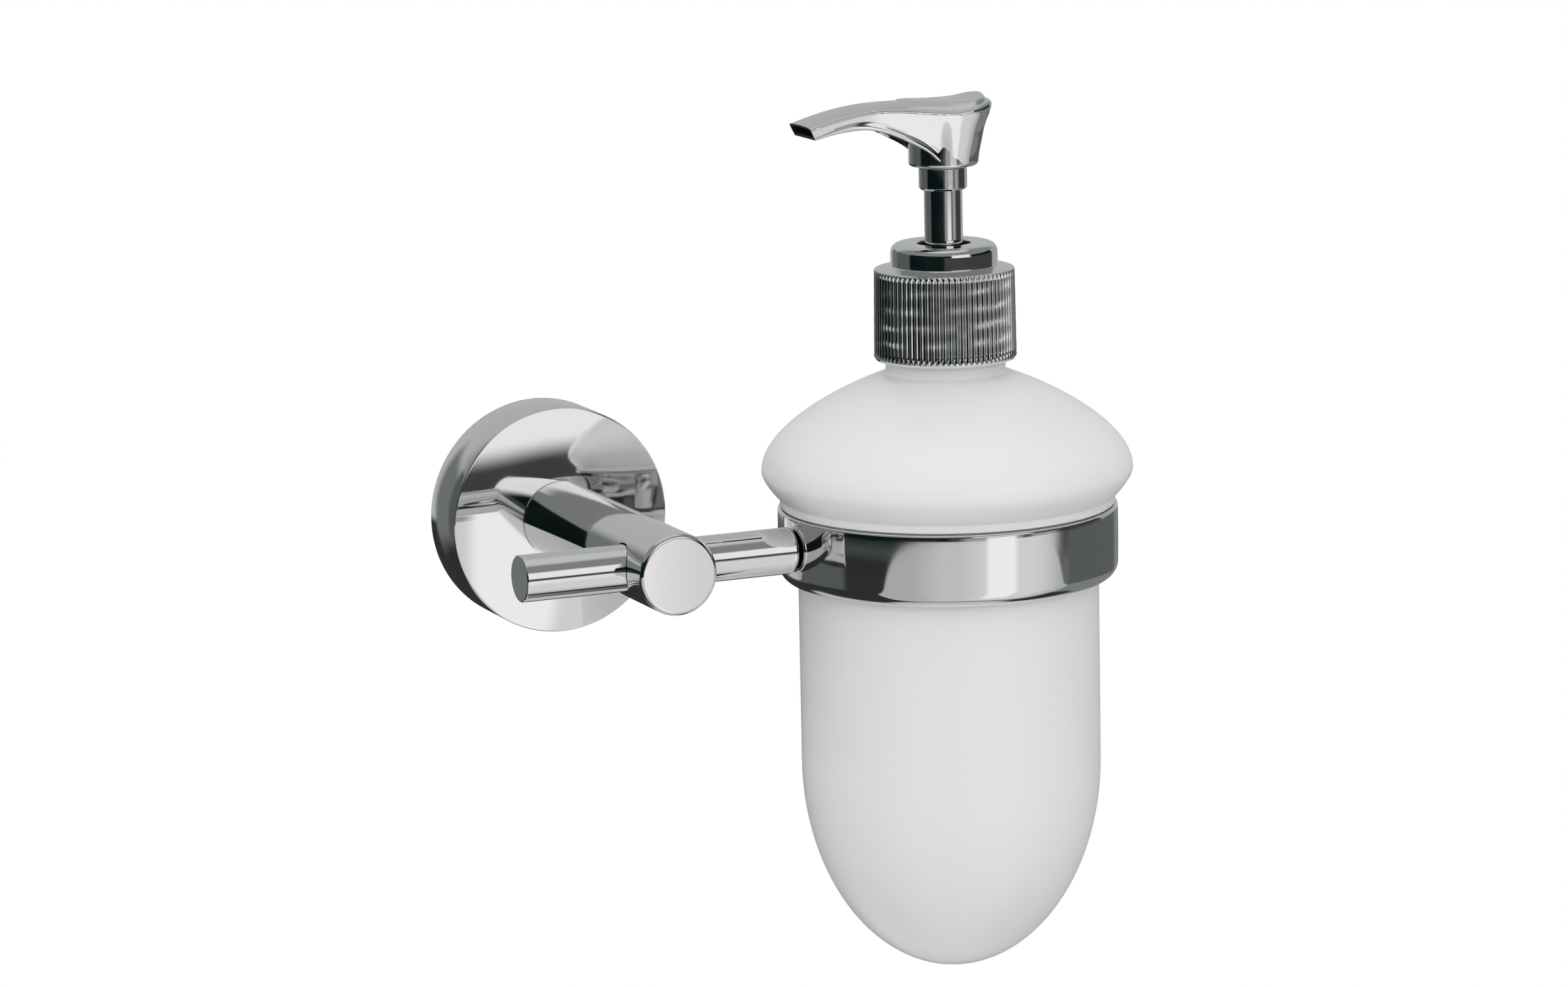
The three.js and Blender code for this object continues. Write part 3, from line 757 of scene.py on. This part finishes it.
def make_head_shell():
    """The head's skin, in columns that run from the bead at its foot up the side and over the top."""
    bead_steps, wall_steps, edge_steps, top_steps = 8, 14, 6, 16
    near = smooth_path([(x, -y) for x, y in HEAD_PLAN], 0.45)
    path = near[:-1] + [Vector((p.x, -p.y)) for p in reversed(near)]
    builder = bmesh.new()
    loops = []
    for i, spot in enumerate(path):
        tangent = path[min(i + 1, len(path) - 1)] - path[max(i - 1, 0)]
        outward = Vector((tangent.y, -tangent.x)).normalized()
        foot = max(HEAD_FOOT, along(HEAD_UNDER, spot.x))
        edge = 0.75 + 0.75 * ease(3, 11, spot.x)
        seam = along(HEAD_RIM, spot.x) - edge
        hub = ease(-4, -1, spot.x)
        bead = (0.7 + 0.3 * hub) * ease(-36, -24, spot.x) + 0.25 * (1 - ease(-36, -24, spot.x))
        bulge = 0.45 * (1 - hub) * ease(-26, -12, spot.x)
        column = []
        for k in range(bead_steps + 1):
            angle = math.radians(-90 + 20 * k)
            fade = 1 if k < 5 else math.cos(math.radians(22.5 * (k - 4))) ** 2
            turned_in = math.cos(angle) if k < 5 else 1
            out = bead * turned_in - bead + bulge * fade * (1 if k > 0 else 0.5)
            out -= DRAFT * (seam - foot) * (1 - hub)
            climb = math.sin(angle) if k < 5 else 0.45 * (k - 4)
            column.append(wall_point(spot, outward, out, foot + bead * (1 + climb)))
        low = column[-1].z
        for k in range(1, wall_steps + 1):
            z = low + (seam - 0.12 - low) * k / wall_steps
            column.append(wall_point(spot, outward, -DRAFT * (seam - z) * (1 - hub), z))
        flash = 0.05 + 0.06 * max(0, noise.noise(Vector((spot.x * 0.9, spot.y * 0.9, 3))))
        column.append(wall_point(spot, outward, flash, seam - 0.04))
        for k in range(edge_steps + 1):
            angle = math.radians(90 / edge_steps * k)
            out = edge * (math.cos(angle) - 1)
            column.append(wall_point(spot, outward, out, seam + edge * math.sin(angle)))
        start = Vector((column[-1].x, column[-1].y))
        middle_x = min(start.x, 3.5)
        for k in range(1, top_steps + 1):
            t = k / top_steps
            here = start.lerp(Vector((middle_x, 0)), t)
            if k == top_steps:
                here.y = 0
            blend = ease(0, 0.12, t)
            top = head_top(here.x, here.y)
            column.append(Vector((here.x, here.y, (1 - blend) * (seam + edge) + blend * top)))
        loops.append([builder.verts.new(point * MM) for point in column])
    for first, second in zip(loops, loops[1:]):
        for k in range(len(first) - 1):
            builder.faces.new((first[k], second[k], second[k + 1], first[k + 1]))
    bmesh.ops.remove_doubles(builder, verts=builder.verts, dist=0.002 * MM)
    piece = object_from("head_shell", builder)
    thin = piece.vertex_groups.new(name="wall")
    for vertex in piece.data.vertices:
        thin.add([vertex.index], 0.5 + 0.5 * ease(-35, -29, vertex.co.x / MM), "REPLACE")
    piece.data.transform(Matrix.Translation(PUMP_AXIS))
    piece.data.materials.append(MATERIALS[SLOTS["pump_head"]])
    # The inside faces get the black dark plastic: partly the unplated moulding, partly painted shade
    # that keeps the hollow of the head black.
    piece.data.materials.append(MATERIALS["dark_plastic"])
    solidify = piece.modifiers.new("wall", "SOLIDIFY")
    solidify.thickness = 1.1 * MM
    solidify.offset = -1
    solidify.vertex_group = "wall"
    solidify.material_offset = 1
    apply_modifiers(piece)
    trim_outlet(piece)
    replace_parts(finish_piece(piece, "pump_head", 48), "pump_head")


def trim_outlet(piece):
    """Cuts the open end of the spout on its slope and closes the cut walls."""
    tip = span("pump_head", "x")[0]
    builder = bmesh.new()
    builder.from_mesh(piece.data)
    everything = [*builder.verts, *builder.edges, *builder.faces]
    cut = bmesh.ops.bisect_plane(
        builder, geom=everything, dist=1e-7, plane_co=(tip, BAR_Y, OUTLET_TOP * MM),
        plane_no=(-1, 0, -OUTLET_SLOPE), clear_outer=True,
    )
    edges = [part for part in cut["geom_cut"] if isinstance(part, bmesh.types.BMEdge)]
    filled = bmesh.ops.holes_fill(builder, edges=edges, sides=0)["faces"]
    for face in filled:
        face.material_index = 0
    bmesh.ops.triangulate(builder, faces=filled)
    builder.to_mesh(piece.data)
    builder.free()


def make_spout_floor():
    """The floor that closes the spout from its outlet to the wall behind the channel."""
    builder = bmesh.new()
    start, end, thick, steps = -38, -20.5, 0.8, 24
    loops = []
    for i in range(steps + 1):
        x = start + (end - start) * i / steps
        half = along(HEAD_PLAN_TABLE, x) - 0.3
        low = along(HEAD_UNDER, x) + 0.1
        high = low + thick
        if i == steps:
            high = along(HEAD_RIM, x) - 0.4
        corners = ((-half, low), (half, low), (half, high), (-half, high))
        loops.append([builder.verts.new(Vector((x, y, z)) * MM) for y, z in corners])
    close_tube(builder, loops)
    piece = object_from("spout_floor", builder)
    piece.data.transform(Matrix.Translation(PUMP_AXIS))
    trim_outlet(piece)
    # Faces turned up take the black dark plastic: partly the unplated moulding, partly painted shade
    # down inside the spout.
    for face in piece.data.polygons:
        face.material_index = 1 if face.normal.z > 0.7 else 0
    piece.data.materials.append(MATERIALS[SLOTS["pump_head"]])
    piece.data.materials.append(MATERIALS["dark_plastic"])
    finish_piece(piece, "pump_head", 30)


def make_hub():
    """The solid middle of the head, bored from below for the stem."""
    foot = span("pump_head", "z")[0] + 0.1 * MM
    radius, top, roof = 7.9 * MM, 97 * MM, 95.5 * MM
    piece = turned("head_hub", rounded([
        (HUB_BORE, foot, 0.3 * MM), (radius, foot, 0.8 * MM), (radius, top), (0, top),
        (0, roof), (HUB_BORE, roof),
    ]), PUMP_AXIS, "Z", 128)
    finish_piece(piece, "pump_head")


# ------------------------------------------------------------------ stage and light
def make_floor():
    """A pale floor under the object that is clear when looked at from underneath."""
    low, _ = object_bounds()
    builder = bmesh.new()
    bmesh.ops.create_grid(builder, x_segments=8, y_segments=8, size=6)
    floor = object_from("floor", builder)
    floor.location.z = low.z - 0.12
    material, tree, shader = new_material("pale_floor")
    shader.inputs["Base Color"].default_value = (0.72, 0.72, 0.72, 1)
    shader.inputs["Roughness"].default_value = 0.9
    glow = tree.nodes.new("ShaderNodeEmission")
    rays = tree.nodes.new("ShaderNodeLightPath")
    mix = tree.nodes.new("ShaderNodeMixShader")
    tree.links.new(rays.outputs["Is Camera Ray"], mix.inputs[0])
    tree.links.new(shader.outputs[0], mix.inputs[1])
    tree.links.new(glow.outputs[0], mix.inputs[2])
    side = tree.nodes.new("ShaderNodeNewGeometry")
    clear = tree.nodes.new("ShaderNodeBsdfTransparent")
    both = tree.nodes.new("ShaderNodeMixShader")
    tree.links.new(side.outputs["Backfacing"], both.inputs[0])
    tree.links.new(mix.outputs[0], both.inputs[1])
    tree.links.new(clear.outputs[0], both.inputs[2])
    tree.links.new(both.outputs[0], tree.nodes["Material Output"].inputs[0])
    floor.data.materials.append(material)
    floor.visible_glossy = False


BLACK = (0.003, 0.008, 0.008)


class Studio:
    """Surroundings painted on the world by direction, in degrees. Azimuth 0 is straight out of the
    wall and 90 is to the right, and elevation is above the horizon."""

    def __init__(self, tree, base):
        self.tree = tree
        coords = tree.nodes.new("ShaderNodeTexCoord")
        split = tree.nodes.new("ShaderNodeSeparateXYZ")
        tree.links.new(coords.outputs["Generated"], split.inputs[0])
        forward = self.math("MULTIPLY", split.outputs[1], -1)
        around = self.math("ARCTAN2", split.outputs[0], forward)
        above = self.math("ARCSINE", split.outputs[2])
        self.azimuth = self.math("MULTIPLY", around, math.degrees(1))
        self.elevation = self.math("MULTIPLY", above, math.degrees(1))
        colour = tree.nodes.new("ShaderNodeRGB")
        colour.outputs[0].default_value = (*base, 1)
        self.colour = colour.outputs[0]

    def math(self, operation, first, second=None):
        node = self.tree.nodes.new("ShaderNodeMath")
        node.operation = operation
        for socket, value in zip(node.inputs, (first, second)):
            if isinstance(value, (int, float)):
                socket.default_value = value
            elif value is not None:
                self.tree.links.new(value, socket)
        return node.outputs[0]

    def step(self, value, edge, soft):
        node = self.tree.nodes.new("ShaderNodeMapRange")
        node.interpolation_type = "SMOOTHSTEP"
        for i, number in enumerate((edge - soft, edge + soft, 0, 1), start=1):
            node.inputs[i].default_value = number
        self.tree.links.new(value, node.inputs[0])
        return node.outputs[0]

    def band(self, value, low, high, soft):
        rise = self.step(value, low, soft)
        fall = self.math("SUBTRACT", 1, self.step(value, high, soft))
        return self.math("MULTIPLY", rise, fall)

    def patch(self, colour, azimuths=None, elevations=None, soft=2.0, soft_up=None):
        """Paints a patch over what is there. With no range, it goes all the way."""
        mask = None
        sideways = (self.azimuth, azimuths, soft)
        upward = (self.elevation, elevations, soft_up or soft)
        for value, limits, width in (sideways, upward):
            if limits is None:
                continue
            part = self.band(value, limits[0], limits[1], width)
            mask = part if mask is None else self.math("MULTIPLY", mask, part)
        self.paint(colour, mask)

    def oval(self, colour, centre, half, power=3.0, soft=0.06):
        """Paints a rounded patch with its centre and half sizes in degrees."""
        total = None
        for value, place, size in zip((self.azimuth, self.elevation), centre, half):
            away = self.math("ABSOLUTE", self.math("DIVIDE", self.math("SUBTRACT", value, place), size))
            part = self.math("POWER", away, power)
            total = part if total is None else self.math("ADD", total, part)
        self.paint(colour, self.math("SUBTRACT", 1, self.step(total, 1, soft)))

    def paint(self, colour, mask):
        mix = self.tree.nodes.new("ShaderNodeMix")
        mix.data_type = "RGBA"
        self.tree.links.new(mask, mix.inputs["Factor"])
        self.tree.links.new(self.colour, mix.inputs["A"])
        mix.inputs["B"].default_value = (*colour, 1)
        self.colour = mix.outputs["Result"]


def grey(value):
    """A grey that is a little cool when dark and a little warm when bright."""
    cool = 1.08 - 0.1 * value
    return value, value * cool, value * cool


def paint_mirrored(tree):
    """What the chrome mirrors: a dark room, a bright table in front, and a soft box over it."""
    studio = Studio(tree, grey(0.47))
    # The room to the sides and in front, the ceiling, and everything under the horizon.
    studio.patch(grey(0.24), (-150, 125), (20, 62), 12, 4)
    studio.patch(grey(0.60), None, (62, 120), 6)
    studio.patch(grey(0.03), None, (-120, -10.5), 10, 1)
    studio.patch(grey(0.55), None, (-120, -70), 10, 3)
    studio.patch(grey(0.55), (120, 400), (-120, -38), 12, 3)
    studio.patch(grey(0.55), (-400, -150), (-120, -38), 12, 3)
    studio.patch(grey(0.22), (60, 152), (-44, -9.4), 6, 2)
    # Round the horizon, from behind on the left past the front to behind on the right.
    studio.patch(grey(0.17), (-172, -140), (-17, 16), 5, 5)
    studio.patch(grey(0.10), (-146, -100), (-17, 20), 3, 2)
    studio.patch(BLACK, (-104, 100), (-11, 22), 3, 1.5)
    studio.patch(grey(0.05), (-24, 100), (-11, 6), 3, 1)
    studio.patch(grey(0.34), (-15, 53), (-11, -5), 5, 0.8)
    studio.patch(grey(0.10), (26, 33), (-11, -4), 2, 0.8)
    studio.patch(grey(0.11), (62, 128), (-17, -9.6), 4, 0.7)
    studio.patch(grey(0.38), (103, 132), (-9.4, 20), 3, 0.5)
    # The table, brightest to the right of the middle, and the soft box.
    studio.oval(grey(0.46), (-5, -38), (70, 28.6), 6)
    studio.patch(grey(0.60), (-40, 50), (-62, -9.4), 14, 0.15)
    studio.patch(grey(0.74), (-8, 44), (-58, -9.4), 14, 0.15)
    studio.patch(grey(1.02), (1, 21.5), (-46, -7.85), 2.5, 0.1)
    studio.patch(grey(0.95), (-8, 34), (3, 30), 3)
    return studio.colour


def paint_soft(tree):
    """The soft light on everything that is not a mirror, brightest from the front."""
    studio = Studio(tree, (1.16, 1.17, 1.20))
    studio.patch((2.12, 2.09, 2.02), (-50, 10), (-45, 75), 45, 35)
    return studio.colour


def make_world():
    world = bpy.data.worlds.new("studio")
    bpy.context.scene.world = world
    world.use_nodes = True
    tree = world.node_tree
    tree.nodes.clear()
    rays = tree.nodes.new("ShaderNodeLightPath")
    backgrounds = []
    for colour in (paint_soft(tree), paint_mirrored(tree), None):
        background = tree.nodes.new("ShaderNodeBackground")
        background.inputs["Strength"].default_value = 1
        background.inputs["Color"].default_value = (1, 1, 1, 1)
        if colour is not None:
            tree.links.new(colour, background.inputs["Color"])
        backgrounds.append(background.outputs[0])
    shade = backgrounds[0]
    for kind, other in (("Is Glossy Ray", backgrounds[1]), ("Is Camera Ray", backgrounds[2])):
        mix = tree.nodes.new("ShaderNodeMixShader")
        tree.links.new(rays.outputs[kind], mix.inputs[0])
        tree.links.new(shade, mix.inputs[1])
        tree.links.new(other, mix.inputs[2])
        shade = mix.outputs[0]
    output = tree.nodes.new("ShaderNodeOutputWorld")
    tree.links.new(shade, output.inputs[0])


make_camera()
dress_cad_nodes()
make_rosette()
make_post()
make_crossbar()
make_ring()
make_bottle()
make_thread()
make_collar()
make_stem()
make_ferrule()
make_guide()
make_dip_tube()
make_spring()
make_head_shell()
make_spout_floor()
make_hub()
make_floor()
make_world()
bpy.context.scene.view_settings.view_transform = "Standard"
